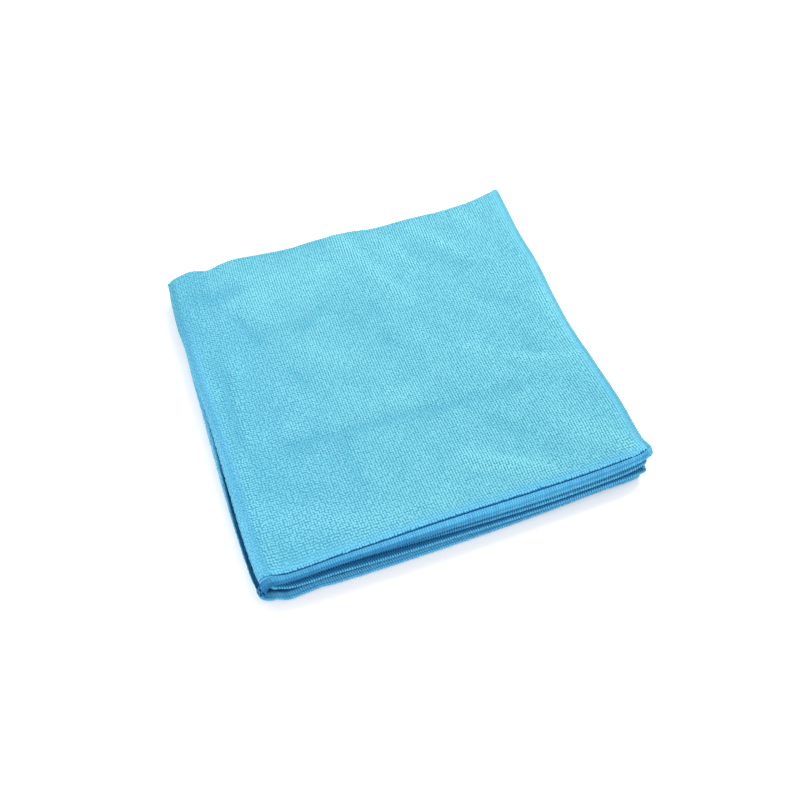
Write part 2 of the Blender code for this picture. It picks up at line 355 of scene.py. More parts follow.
# Between the layers the cloth is deep in shade, and so are the upper layers' rims on the left.
# Shares here are of the way from the left fold to the right edge.
BETWEEN_SHADE = 0.85
BETWEEN_LIGHT = 0.25
OPEN_RIM = 2.6 * MM             # the lowest layer's hem is open to the light up to here
RIM_REACH = 0.9                 # rows of a thread up to this distance, in millimetres, are its rim
RIM_REACH_INNER = 0.6           # and on the inner hems' outer face, which lies deeper
RIM_LIGHT_LEFT = 0.25
RIM_LIGHT_SHARES = (0.30, 0.75)         # between these the rims come into the light
# How much painted light layer 1's hem gets from above.
TOP_SHARES = (0.0, 0.14, 0.33, 0.55, 0.70, 0.85, 1.0)
TOP_LIGHT = (0.72, 0.76, 0.92, 1.0, 0.96, 0.84, 0.80)
# On the right the rows between these distances, in millimetres, are a darker line.
PURL = (0.8, 1.5)
PURL_SHADE = 0.4
PURL_SHARES = (0.60, 0.80)
# The outer turn's end is darker round one place, from the fold.
TURN_SHADE = 0.6
TURN_SHADE_PLACE = 2.5 * MM
TURN_SHADE_SPREAD = 4.0 * MM

# The camera stands where the photograph was taken from.
CAMERA_PLACE = (-0.08220, -0.34784, 0.46748)
CAMERA_RIGHT = (0.94244, -0.32740, -0.06792)
CAMERA_AHEAD = (0.14143, 0.57437, -0.80629)
CAMERA_LENS = 49.5
CAMERA_SENSOR = 36.0

# Colours. FLEECE is pressed pile and painted bluish light. RECESS and CREVICE are painted deep
# shade.
PILE_DARK = (0.088, 0.362, 0.496)
PILE_LIGHT = (0.146, 0.474, 0.590)
RIB_DARK = (0.101, 0.380, 0.480)
RIB_LIGHT = (0.168, 0.498, 0.569)
# PILE_ROOT is painted shade towards the loops' roots.
PILE_ROOT = (0.054, 0.280, 0.400)
FLEECE_OR_LIT_DARK = (0.085, 0.366, 0.560)
FLEECE_OR_LIT_LIGHT = (0.133, 0.452, 0.655)
# The ground is darker than the pile, as painted shade in the pits between the loops.
GROUND_DARK = (0.045, 0.260, 0.400)
GROUND_LIGHT = (0.080, 0.350, 0.490)
THREAD_DARK = (0.064, 0.350, 0.575)
THREAD_LIGHT = (0.135, 0.495, 0.735)
RECESS = (0.0005, 0.100, 0.275)
CREVICE = (0.0005, 0.045, 0.115)
FLOOR_COLOUR = (0.93, 0.90, 0.895)

# How rough each surface is and how much it shines, and the pile's sheen.
Surface = namedtuple("Surface", "roughness specular")
PILE_SURFACE = Surface(0.9, 0.25)
GROUND_SURFACE = Surface(0.95, 0.08)
THREAD_SURFACE = Surface(0.85, 0.15)
FLOOR_SURFACE = Surface(0.9, 0.5)
SHEEN_WEIGHT = 0.12
SHEEN_ROUGHNESS = 0.5
SHEEN_TINT = (0.6, 0.9, 1.0, 1.0)
# The fibres' fine grain: the scale and detail of its noise, and the threads' relief from it.
Grain = namedtuple("Grain", "scale detail")
GROUND_GRAIN = Grain(900.0, 3.0)
PRESSED_GRAIN = Grain(1200.0, 2.0)
THREAD_GRAIN = Grain(1400.0, 2.0)
THREAD_BUMP = 0.4
THREAD_BUMP_DEPTH = 0.1 * MM

# The studio: round soft lights that all aim at the cloth, and an even white light around it.
FLOOR_REACH = 3.0
WORLD_LIGHT = 1.12
LIGHTS = table(
    "name place size power colour",
    ("key", (0.50, 0.40, 0.60), 0.5, 7.5, (1.0, 0.985, 0.94)),
    ("fill", (-0.62, -0.48, 0.34), 0.7, 2.9, (0.85, 0.93, 1.0)),
)

SEED = 7


def smooth_step(start, end, value):
    share = np.clip((value - start) / (end - start), 0.0, 1.0)
    return share * share * (3.0 - 2.0 * share)


def column(rows, name):
    return np.array([getattr(row, name) for row in rows])


def read_edge(edges, share, name):
    """A column of an edge table at shares of the edge's length, on a smooth curve, in metres."""
    at, values = column(edges, "at"), column(edges, name) * MM
    index = np.clip(np.searchsorted(at, share, side="right") - 1, 0, len(at) - 2)
    before, after = np.maximum(index - 1, 0), np.minimum(index + 2, len(at) - 1)
    span = at[index + 1] - at[index]
    step = np.clip((share - at[index]) / span, 0.0, 1.0)
    slope_in = (values[index + 1] - values[before]) / (at[index + 1] - at[before]) * span
    slope_out = (values[after] - values[index]) / (at[after] - at[index]) * span
    square, cube = step * step, step**3
    return (
        (2 * cube - 3 * square + 1) * values[index]
        + (cube - 2 * square + step) * slope_in
        + (3 * square - 2 * cube) * values[index + 1]
        + (cube - square) * slope_out
    )


def fold_station(place, turn):
    """The angle round a fold, in degrees, and the share from the fold to the free edge."""
    angle = np.clip(180.0 * place / turn, -90.0, 90.0)
    share = np.maximum(np.abs(place) - turn / 2.0, 0.0) / (HALF_CLOTH - turn / 2.0)
    return angle, share


def crease_relief(across, along):
    """The rise of the top layer's creases at shares across and along, in metres."""
    x = TOP_START[0] + TOP_RUN[0] * across
    y = TOP_START[1] + TOP_RUN[1] * along
    relief = np.zeros_like(x)
    for crease in CREASES:
        run_x, run_y = crease.to_x - crease.from_x, crease.to_y - crease.from_y
        length = np.hypot(run_x, run_y)
        step = ((x - crease.from_x) * run_x + (y - crease.from_y) * run_y) / length**2
        off = ((x - crease.from_x) * run_y - (y - crease.from_y) * run_x) / length
        past = np.maximum(np.maximum(-step, step - 1.0), 0.0) * length
        fade = CREASE_END * crease.width
        spread = np.exp(-((off / crease.width) ** 2) - (past / fade) ** 2)
        relief += crease.rise * spread * MM
    return relief


def layer_heights(across, along):
    """The heights of the four layers' middles over one place, layer 1 first."""
    relief = crease_relief(across, along)
    rises = [share * relief for share in LAYER_SHARES]
    for rise in RISES:
        off_across = (across - rise.across) / rise.spread_across
        off_along = (along - rise.along) / rise.spread_along
        amount = np.exp(-(off_across**2) - off_along**2) * MM
        added = (rise.layer1, rise.layer2, rise.layer3)
        rises = [total + amount * share for total, share in zip(rises, added)]
    layer4 = CLOTH_THICKNESS / 2.0 + np.zeros_like(across)
    layer3 = layer4 + PAIR_PITCH
    layer2 = layer3 + MIDDLE_PITCH
    layer1 = layer2 + PAIR_PITCH
    return (layer1 + rises[0], layer2 + rises[1], layer3 + rises[2], layer4)


def mixed(weights, values):
    return sum(weight * value for weight, value in zip(weights, values))


def left_fold_x(angle, along_share, outer, heights):
    """Where the left fold has its sheet's middle, between its outer and its inner turn."""
    upper_share = smooth_step(LOWER_LOBE_END, UPPER_LOBE_START, angle)
    upper = read_edge(LEFT_EDGES, along_share, "upper")
    lower = read_edge(LEFT_EDGES, along_share, "lower")
    surface = upper_share * upper + (1.0 - upper_share) * lower
    dent = np.exp(-(((angle - PINCH_ANGLE) / PINCH_SPREAD) ** 2))
    dent = dent * read_edge(LEFT_EDGES, along_share, "pinch")
    turn = 1.0 - np.cos(np.radians(angle))
    outer_radius = (heights[0] - heights[3]) / 2.0
    inner_radius = (heights[1] - heights[2]) / 2.0
    outer_x = surface + dent + CLOTH_THICKNESS / 2.0 + outer_radius * turn
    inner_x = upper + 1.5 * CLOTH_THICKNESS + FOLD_SLOT + inner_radius * turn
    return outer * outer_x + (1.0 - outer) * inner_x


def uneven_hem(across, along):
    """Where a flat place really is along the sheet, as layer 1's near hem varies in width."""
    distance = HALF_CLOTH - np.abs(along)
    share = read_edge(NEAR_EDGES, np.clip(across / HALF_CLOTH, 0.0, 1.0), "hem") / MM
    share = np.where(along > 0.0, 1.0 + (share - 1.0) * smooth_step(0.0, LEFT_TURN, across), 1.0)
    past = np.clip((distance - HEM_END) / (HEM_EVENED - HEM_END), 0.0, 1.0)
    shift = (share - 1.0) * np.minimum(distance, HEM_END) * (1.0 - past)
    return np.sign(along) * (HALF_CLOTH - distance - shift)


def far_fold_y(angle, across_share, top, heights):
    """Where the far folds of the upper and the lower two layers have their sheet's middle."""
    edge = top * read_edge(FAR_EDGES, across_share, "upper")
    edge = edge + (1.0 - top) * read_edge(FAR_EDGES, across_share, "lower")
    radius = top * (heights[0] - heights[1]) / 2.0
    radius = radius + (1.0 - top) * (heights[2] - heights[3]) / 2.0
    turn = 1.0 - np.cos(np.radians(angle))
    return edge - CLOTH_THICKNESS / 2.0 - radius * turn


def pulled(folded, across, along):
    """The folded places once the corners' small pulls have moved them."""
    for tip in TIPS:
        off_across = (across / MM - tip.across) / tip.spread_across
        off_along = (along / MM - tip.along) / tip.spread_along
        share = np.exp(-(off_across**2) - off_along**2)
        folded = folded + share[..., None] * np.array((tip.move_x, tip.move_y, tip.move_z)) * MM
    return folded


def sheet_middle(across, along):
    """The folded places of the sheet's middle, as one row of x, y and z for each flat place."""
    along = uneven_hem(across, along)
    across_angle, across_share = fold_station(across, LEFT_TURN)
    along_angle, along_share = fold_station(along, FAR_TURN)
    top = (1.0 + np.sin(np.radians(across_angle))) / 2.0
    outer = (1.0 + np.sin(np.radians(along_angle))) / 2.0
    weights = (top * outer, top * (1 - outer), (1 - top) * (1 - outer), (1 - top) * outer)
    heights = layer_heights(across_share, along_share)

    fold_x = left_fold_x(across_angle, along_share, weights[0] + weights[3], heights)
    right_x = mixed(weights, [read_edge(RIGHT_EDGES, along_share, name) for name in LAYERS])
    x = fold_x + across_share * (right_x - fold_x)

    far_y = far_fold_y(along_angle, across_share, top, heights)
    near_y = mixed(weights, [read_edge(NEAR_EDGES, across_share, name) for name in LAYERS])
    y = far_y + along_share * (near_y - far_y)
    folded = np.stack([x, y, mixed(weights, heights)], axis=-1) + SET_DOWN
    return pulled(folded, across, along)


def unit(vectors):
    return vectors / np.maximum(np.linalg.norm(vectors, axis=-1, keepdims=True), 1e-12)


def both_sides(flat):
    """Flat places just before and just after the given ones, on the sheet."""
    before = np.clip(flat - NORMAL_STEP, -HALF_CLOTH, HALF_CLOTH)
    after = np.clip(flat + NORMAL_STEP, -HALF_CLOTH, HALF_CLOTH)
    return before, after


Place = namedtuple("Place", "middle across along normal")


def places(across, along):
    """The sheet's middle with its two directions and its outer normal, at flat places."""
    low_across, high_across = both_sides(across)
    low_along, high_along = both_sides(along)
    run_across = unit(sheet_middle(high_across, along) - sheet_middle(low_across, along))
    run_along = unit(sheet_middle(across, high_along) - sheet_middle(across, low_along))
    normal = unit(np.cross(run_along, run_across))
    return Place(sheet_middle(across, along), run_across, run_along, normal)


def edge_distances(across, along):
    """How far flat places are from the near edges, and from the right edges."""
    return HALF_CLOTH - np.abs(along), HALF_CLOTH - np.abs(across)


def half_thickness(across, along):
    """Half the panel's thickness at flat places. The groove fades out towards the left fold."""
    distances = column(HEM, "distance") * MM
    grooved, smooth = column(HEM, "near") * MM, column(HEM, "right") * MM
    near_distance, right_distance = edge_distances(across, along)
    faded = 1.0 - smooth_step(*GROOVE_FADE, np.abs(across))
    near = np.interp(near_distance, distances, grooved)
    near = near + faded * (np.interp(near_distance, distances, smooth) - near)
    return np.minimum(near, np.interp(right_distance, distances, smooth))


def from_crevice(across, along):
    """The angle round the left fold from its crevice, in degrees, and the pinch's depth.

    The depth is 0 on the inner layers."""
    angle, _ = fold_station(across, LEFT_TURN)
    _, along_share = fold_station(along, FAR_TURN)
    pinch = np.maximum(read_edge(LEFT_EDGES, along_share, "pinch"), 0.0)
    return angle - read_edge(LEFT_EDGES, along_share, "crevice") / MM, pinch * (along > 0.0)


def turn_line(across, along):
    """From 0 to 1, on the soft line along the top of the left fold's outer turn."""
    line = np.interp(along / HALF_CLOTH, TURN_LINE_SHARES, TURN_LINE_PLACES)
    return np.exp(-(((across - line) / TURN_LINE_SPREAD) ** 2)) * (along > 0.0)


def turn_cut(across, along):
    """How much deeper the left fold's outer face sinks at its crevice and its soft line."""
    angle, pinch = from_crevice(across, along)
    crevice = CREVICE_CUT * pinch * np.exp(-((angle / CREVICE_SPREAD) ** 2))
    return crevice + TURN_LINE_CUT * turn_line(across, along)


def crevice_shade(across, along):
    """How much painted shade the outer face gets in the left fold's pinch, from 0 to 1."""
    angle, pinch = from_crevice(across, along)
    start, full, fading, end = CREVICE_SHADE
    shape = smooth_step(start, full, angle) * (1.0 - smooth_step(fading, end, angle))
    return shape * smooth_step(*CREVICE_PINCH, pinch)


def mesh_object(name, points, faces, material):
    points = points.reshape(-1, 3)
    points[:, 2] = np.maximum(points[:, 2], 0.0)     # it lies flat where it touches the ground
    mesh = bpy.data.meshes.new(name)
    mesh.from_pydata(points, [], faces)
    mesh.update()
    mesh.shade_smooth()
    mesh.materials.append(material)
    thing = bpy.data.objects.new(name, mesh)
    bpy.context.scene.collection.objects.link(thing)
    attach(thing, "root")
    return thing


def store(thing, name, values):
    """Keeps one number for each point of the mesh, for its material."""
    attribute = thing.data.attributes.new(name, "FLOAT", "POINT")
    attribute.data.foreach_set("value", np.ascontiguousarray(values.ravel(), dtype=np.float32))


def even_steps(start, end, step):
    return np.linspace(start, end, max(int(round((end - start) / step)), 1) + 1)


def panel_stations(turn):
    """Flat places in one direction: fine at the hems and the fold, wider apart between them."""
    hem = column(HEM, "distance") * MM
    flat = even_steps(turn / 2.0, HALF_CLOTH - hem[-1], FLAT_STEP)
    half = np.concatenate([flat[:-1], HALF_CLOTH - hem[::-1]])
    fold = even_steps(-turn / 2.0, turn / 2.0, FOLD_STEP)[1:-1]
    return np.concatenate([-half[::-1], fold, half])


def sheet_faces(rows, columns):
    """The quads of a closed sheet: an outer and an inner face that share a rim.

    They index all the outer points, row by row, and then all the inner ones."""
    outer = np.arange(rows * columns).reshape(rows, columns)
    inner = outer + rows * columns
    rim = np.ones((rows, columns), bool)
    rim[1:-1, 1:-1] = False
    inner[rim] = outer[rim]
    outer_quads = [outer[:-1, :-1], outer[1:, :-1], outer[1:, 1:], outer[:-1, 1:]]
    inner_quads = [inner[:-1, :-1], inner[:-1, 1:], inner[1:, 1:], inner[1:, :-1]]
    quads = np.stack([np.stack(outer_quads, axis=-1), np.stack(inner_quads, axis=-1)])
    return quads.reshape(-1, 4)


def recess(across, along):
    """Painted shade on the panel's outer and inner faces: in the hem's lines and between the
    layers.
    """
    near_distance, right_distance = edge_distances(across, along)
    distance = np.minimum(near_distance, right_distance)
    groove = np.exp(-(((near_distance - GROOVE) / GROOVE_SHADE) ** 2))
    groove = groove * smooth_step(*GROOVE_FADE, np.abs(across))
    bites = BITE_SHADE * (near_distance > GROOVE) * (near_distance < BITE_END)
    shoulder = np.exp(-(((distance - SHOULDER) / SHOULDER_SHADE) ** 2))
    lines = np.maximum(np.maximum(groove, bites), shoulder)
    between = BETWEEN_SHADE * (distance < HEM[-1].distance * MM)
    open_rim = (across < 0.0) & (along > 0.0) & (distance < OPEN_RIM)
    return np.maximum(lines, between * (along < 0.0)), np.maximum(lines, between * ~open_rim)


def panel(material):
    """The knitted panel as one closed sheet, with its looks for each point of its two faces."""
    across, along = np.meshgrid(panel_stations(LEFT_TURN), panel_stations(FAR_TURN))
    place = places(across, along)
    half = half_thickness(across, along)[..., None]
    cut = turn_cut(across, along)[..., None]
    both_faces = np.stack([
        place.middle + place.normal * (half - cut),
        place.middle - place.normal * half,
    ])
    kept, faces = np.unique(sheet_faces(*across.shape), return_inverse=True)
    points = both_faces.reshape(-1, 3)[kept]
    cloth = mesh_object("cloth_panel", points, faces.reshape(-1, 4), material)
    crevice, pressed_or_lit = crevice_shade(across, along), fleece_and_ridge_light(across, along)
    looks = {
        "recess": recess(across, along),
        "crevice": (crevice, 0.0 * crevice),
        "pressed_or_lit": (pressed_or_lit, pressed_or_lit),
    }
    for name, values in looks.items():
        store(cloth, name, np.stack(values).ravel()[kept])
    return cloth


def pile_fullness(across, along):
    """From 0, where the hem presses the pile flat, to 1."""
    near_distance, right_distance = edge_distances(across, along)
    return np.minimum(
        smooth_step(PILE_START_NEAR, PILE_FULL_NEAR, near_distance),
        smooth_step(PILE_START_RIGHT, PILE_FULL_RIGHT, right_distance),
    )


def along_right(values, along):
    """What a list for RIGHT_SHARES gives at flat places along the right hems."""
    return np.interp(np.abs(along) / HALF_CLOTH, RIGHT_SHARES, values)


def fleece_and_ridge_light(across, along):
    """From 0 to 1, how blue the pile is: flattened at the hems, and painted bluish light on the
    left ridge.
    """
    # Painted bluish light on the left fold's ridge.
    ridge = RIDGE_PAINTED_LIGHT * (1.0 - smooth_step(*RIDGE_END, np.abs(across)))
    ridge = ridge * smooth_step(*RIDGE_SHARES, along / HALF_CLOTH)
    near_distance, right_distance = edge_distances(across, along)
    by_right = right_distance < near_distance
    share = np.where(by_right, along_right(RIGHT_FLEECE, along), 1.0)
    near = 1.0 - smooth_step(PILE_START_NEAR, NEAR_FLEECE_END, near_distance)
    hems = np.maximum((1.0 - pile_fullness(across, along)) * share, near)
    return np.maximum(hems, ridge)


def pile_stations(turn, fold_rows, pitch, edge):
    """Flat places of the pile's rows in one direction, from a fold's start to an edge."""
    fold = np.linspace(-turn / 2.0, turn / 2.0, fold_rows, endpoint=False)
    return np.concatenate([fold, even_steps(turn / 2.0, HALF_CLOTH - edge, pitch)])


def mottle_waves(random):
    """The direction, length and start of each wave of the pile's soft patches."""
    direction = random.uniform(0.0, np.pi, MOTTLE_WAVES)
    length = random.uniform(*MOTTLE_LENGTHS, MOTTLE_WAVES)
    return np.stack([direction, length, random.uniform(0.0, 2.0 * np.pi, MOTTLE_WAVES)], axis=-1)


def mottle(across, along, waves):
    """How much lighter or darker the pile is in its soft patches."""
    total = np.zeros_like(across)
    for direction, length, start in waves:
        run = across * np.cos(direction) + along * np.sin(direction)
        total += np.cos(2.0 * np.pi * run / length + start)
    return MOTTLE * total / np.sqrt(len(waves))


def tuft(sides, rings):
    """A loop of the pile as points and triangles: rings from the root up, and a tip.

    The points are in shares of the loop's half-width across, half-length along and height."""
    angles = 2.0 * np.pi * (np.arange(sides) + 0.5) / sides
    points = [
        (width * np.cos(angle), width * np.sin(angle), level)
        for width, level in rings for angle in angles
    ]
    points.append((0.0, 0.0, 1.0))
    here = np.arange(sides)
    after = np.roll(here, -1)
    faces = []
    for low in range(0, (len(rings) - 1) * sides, sides):
        high = low + sides
        faces.append(np.stack([low + here, high + after, low + after], axis=-1))
        faces.append(np.stack([low + here, high + here, high + after], axis=-1))
    last = (len(rings) - 1) * sides
    tip = np.full(sides, last + sides)
    faces.append(np.stack([last + here, tip, last + after], axis=-1))
    return np.array(points), np.concatenate(faces)


def rib_share(across, along):
    """From 0, where the loops lie singly, to 1, where they all run together into ribs."""
    full = np.interp(np.abs(along) / HALF_CLOTH, (0.0, 1.0), RIBS_FULL)
    return smooth_step(RIBS_START, full, np.abs(across))


def loop_heights(across, along, random):
    """How high each loop stands from its root, which is LOOP_SINK deep in the panel."""
    full = pile_fullness(across, along)
    height = LOOP_HEIGHT * (PRESSED_HEIGHT + (1.0 - PRESSED_HEIGHT) * full)
    height = height * random.uniform(*LOOP_HEIGHT_RANGE, len(across))
    by_place = smooth_step(0.0, LOOP_FULL, np.abs(across))
    height = height * (LOOP_LEFT + (1.0 - LOOP_LEFT) * by_place)
    return height * (1.0 - CREVICE_FLATTENS * crevice_shade(across, along)) + LOOP_SINK


def loop_points(across, along, ribs, tuft_points, random):
    """The points of each loop's tuft, at the loops' flat places."""
    count = len(across)
    height = loop_heights(across, along, random)
    half_width = WALE_PITCH * random.uniform(*LOOP_HALF_WIDTH, count)
    half_length = COURSE_PITCH * random.uniform(*LOOP_HALF_LENGTH, count)
    half_width = half_width * (1.0 - RIB_NARROWS * ribs)
    half_length = half_length * (1.0 + RIB_LENGTHENS * ribs)
    turn = random.normal(0.0, LOOP_TURN, count)[:, None]
    lean_across = random.normal(0.0, LOOP_LEAN, count)[:, None] * tuft_points[:, 2]
    lean_along = random.normal(LOOP_LEAN_NEAR, LOOP_LEAN, count)[:, None] * tuft_points[:, 2]

    local = tuft_points * np.stack([half_width, half_length, height], axis=-1)[:, None]
    local_across = local[..., 0] * np.cos(turn) - local[..., 1] * np.sin(turn) + lean_across
    local_along = local[..., 0] * np.sin(turn) + local[..., 1] * np.cos(turn) + lean_along
    base = half_thickness(across, along) - LOOP_SINK - turn_cut(across, along)
    place = places(across, along)
    return (
        place.middle[:, None]
        + place.across[:, None] * local_across[..., None]
        + place.along[:, None] * local_along[..., None]
        + place.normal[:, None] * (base[:, None] + local[..., 2])[..., None]
    )


def loop_tones(across, along, waves, random):
    """How light each loop is, from 0 to 1; painted light and shade follow the creases and two
    lines.
    """
    _, across_share = fold_station(across, LEFT_TURN)
    _, along_share = fold_station(along, FAR_TURN)
    tone_and_painted_light = MIDDLE_TONE + random.normal(0.0, TONE_SPREAD, len(across))
    tone_and_painted_light = tone_and_painted_light + mottle(across, along, waves)
    # Painted light on the creases' ridges, and painted shade in their troughs and along two lines.
    tone_and_painted_light = tone_and_painted_light + TONE_BY_RELIEF * crease_relief(across_share, along_share)
    tone_and_painted_light = tone_and_painted_light - TURN_LINE_TONE * turn_line(across, along)
    tone_and_painted_light = tone_and_painted_light - FAR_LINE_TONE * np.exp(-(((along - FAR_LINE) / FAR_LINE_SPREAD) ** 2))
    _, right_distance = edge_distances(across, along)
    by_hem = 1.0 - smooth_step(PILE_START_RIGHT, PILE_FULL_RIGHT, right_distance)
    return np.clip(tone_and_painted_light + by_hem * along_right(RIGHT_TONE, along), 0.0, 1.0)


def loops(name, across, along, shape, waves, material, random):
    """The pile's loops at flat places, one mesh for all of them."""
    across, along = across.ravel(), along.ravel()
    count = len(across)
    ribs = rib_share(across, along)
    shift_across = LOOP_SHIFT * WALE_PITCH * (1.0 - RIB_STEADIES_ACROSS * ribs)
    shift_along = LOOP_SHIFT * COURSE_PITCH * (1.0 - RIB_STEADIES_ALONG * ribs)
    across = across + shift_across * random.normal(0.0, 1.0, count)
    along = along + shift_along * random.normal(0.0, 1.0, count)

    tuft_points, tuft_faces = shape
    points = loop_points(across, along, ribs, tuft_points, random)
    starts = np.arange(count)[:, None, None] * len(tuft_points)
    thing = mesh_object(name, points, (tuft_faces + starts).reshape(-1, 3), material)
    looks = {
        "tone_and_painted_light": loop_tones(across, along, waves, random),
        "ribs": ribs,
        "pressed_or_lit": fleece_and_ridge_light(across, along),
        "crevice": crevice_shade(across, along),
    }
    for look, values in looks.items():
        store(thing, look, np.repeat(values, len(tuft_points)))
    # Each point's height share, which gives each loop painted shade towards its root.
    store(thing, "tip", np.tile(tuft_points[:, 2], count))
    return thing


def tubes(name, paths, sides, half_widths, half_heights, material):
    """Threads along paths, one mesh for all of them.

    sides points across each thread, whose half-widths and half-heights are given for each point
    of its path."""
    count, length = paths.shape[:2]
    ahead = unit(np.gradient(paths, axis=1))
    sides = unit(sides - ahead * np.sum(sides * ahead, axis=-1, keepdims=True))
    ups = np.cross(ahead, sides)
    angles = 2.0 * np.pi * (np.arange(THREAD_SIDES) + 0.5) / THREAD_SIDES
    points = (
        paths[:, :, None]
        + sides[:, :, None] * (half_widths[..., None] * np.cos(angles))[..., None]
        + ups[:, :, None] * (half_heights[..., None] * np.sin(angles))[..., None]
    )
    index = np.arange(count * length * THREAD_SIDES).reshape(count, length, THREAD_SIDES)
    after = np.roll(index, -1, axis=2)
    quads = np.stack([index[:, :-1], after[:, :-1], after[:, 1:], index[:, 1:]], axis=-1)
    return mesh_object(name, points, quads.reshape(-1, 4), material)


# The four sides of the flat sheet, and on which side of the folds each one is.
EDGES = {"near_outer": 1.0, "near_inner": -1.0, "right_upper": 1.0, "right_lower": -1.0}


def edge_place(edge, run, inward):
    """Flat places at a run along one edge and a distance in from it."""
    reach = np.broadcast_to(EDGES[edge] * (HALF_CLOTH - inward), run.shape)
    return (run, reach) if edge.startswith("near") else (reach, run)


def thread_shade(edge, across):
    """How much light the rows of threads get: less between layers, and on the upper left rims."""
    distances, faces = column(THREAD, "distance"), column(THREAD, "face")
    inner = edge == "near_inner"
    on_rim = distances < np.where(inner & (faces > 0), RIM_REACH_INNER, RIM_REACH)
    between = inner | (faces < 0)
    shade = np.where(between & ~on_rim, BETWEEN_LIGHT, 1.0) + np.zeros_like(across)
    if edge.startswith("right"):
        return shade
    share = np.where(across > 0.0, across / HALF_CLOTH, 1.0)
    rim = RIM_LIGHT_LEFT + (1.0 - RIM_LIGHT_LEFT) * smooth_step(*RIM_LIGHT_SHARES, share)
    shade = np.where(on_rim, rim, shade)
    if inner:
        return shade
    shade = np.where((across < 0.0) & (distances * MM < OPEN_RIM), 1.0, shade)
    on_top = (across > 0.0) & (faces > 0)
    shade = np.where(on_top & ~on_rim, np.interp(share, TOP_SHARES, TOP_LIGHT), shade)
    purl = on_top & (distances > PURL[0]) & (distances < PURL[1])
    shade = shade * (1.0 - PURL_SHADE * purl * smooth_step(*PURL_SHARES, share))
    turn = np.exp(-(((across - TURN_SHADE_PLACE) / TURN_SHADE_SPREAD) ** 2))
    return shade * (1.0 - TURN_SHADE * turn)


def stitch_runs(turn):
    """Where the stitches are along an edge that has a fold in its middle."""
    flat = even_steps(turn / 2.0, HALF_CLOTH - THREAD_MARGIN, STITCH_PITCH)
    fold = even_steps(-turn / 2.0, turn / 2.0, FOLD_STITCH_PITCH)[1:-1]
    return np.concatenate([-flat[::-1], fold, flat])


def thread_paths(edge, across, along):
    """The threads' paths over an edge, at flat places, and which way the edge runs there."""
    place = places(across, along)
    side, outward = place.across, place.along
    if edge.startswith("right"):
        side, outward = outward, side
    faces, lifts = column(THREAD, "face"), column(THREAD, "lift") * MM
    heights = faces * (half_thickness(across, along) + lifts)
    beyond = EDGES[edge] * np.where(faces == 0, lifts, 0.0)
    paths = place.middle + place.normal * heights[..., None] + outward * beyond[:, None]
    return paths, side


def right_thread_looks(light, along):
    """What the right hems' threads store, as they take the pile's material."""
    whole = np.ones_like(light)
    rim = np.where(column(THREAD, "distance") < RIM_REACH, RIGHT_RIM, 1.0)
    return {
        # The threads' painted light, which darkens them towards the pile's painted root shade.
        "tip": light * rim * along_right(RIGHT_LIGHT, along),
        "tone_and_painted_light": MIDDLE_TONE * whole,
        "ribs": whole,
        "pressed_or_lit": along_right(RIGHT_FLEECE, along),
        "crevice": 0.0 * whole,
    }


def hem_threads(edge, material, random):
    """The overlock's threads along one edge, each from one face over the edge to the other."""
    near = edge.startswith("near")
    runs = stitch_runs(LEFT_TURN if near else FAR_TURN)
    inward = column(THREAD, "distance") * (1.0 if near else RIGHT_REACH) * MM
    slants = column(THREAD, "slant") * STITCH_PITCH
    run = np.clip(runs[:, None] + slants, -HALF_CLOTH, HALF_CLOTH)
    across, along = edge_place(edge, run, inward)
    paths, side = thread_paths(edge, across, along)
    uneven = 1.0 + THREAD_UNEVEN * random.normal(0.0, 1.0, (3, len(runs), 1))
    half_widths = uneven[0] * column(THREAD, "half_width") * MM
    half_heights = uneven[1] * column(THREAD, "half_height") * MM
    threads = tubes(f"hem_thread_{edge}", paths, side, half_widths, half_heights, material)

    light = uneven[2] * column(THREAD, "light") - THREAD_UNEVEN
    light = np.clip(light * thread_shade(edge, across), 0.0, 1.0)
    looks = {"light": light} if near else right_thread_looks(light, along)
    for name, values in looks.items():
        store(threads, name, np.repeat(values.ravel(), THREAD_SIDES))
    return threads


class Look:
    """A new material and its nodes."""

    def __init__(self, name, surface):
        self.material = bpy.data.materials.new(name)
        self.material.use_nodes = True
        self.nodes = self.material.node_tree.nodes
        self.links = self.material.node_tree.links
        self.inputs = self.nodes["Principled BSDF"].inputs
        self.inputs["Roughness"].default_value = surface.roughness
        self.inputs["Specular IOR Level"].default_value = surface.specular

    def stored(self, name):
        """A number that store() kept in the mesh."""
        attribute = self.nodes.new("ShaderNodeAttribute")
        attribute.attribute_name = name
        return attribute.outputs["Fac"]

    def noise(self, grain):
        texture = self.nodes.new("ShaderNodeTexNoise")
        texture.inputs["Scale"].default_value = grain.scale
        texture.inputs["Detail"].default_value = grain.detail
        return texture.outputs["Fac"]

    def between(self, factor, low, high):
        """A colour from low to high as the factor goes from 0 to 1. Either end may be linked."""
        mix = self.nodes.new("ShaderNodeMix")
        mix.data_type = "RGBA"
        self.links.new(factor, mix.inputs["Factor"])
        for socket, colour in (("A", low), ("B", high)):
            if isinstance(colour, tuple):
                mix.inputs[socket].default_value = (*colour, 1.0)
            else:
                self.links.new(colour, mix.inputs[socket])
        return mix.outputs["Result"]


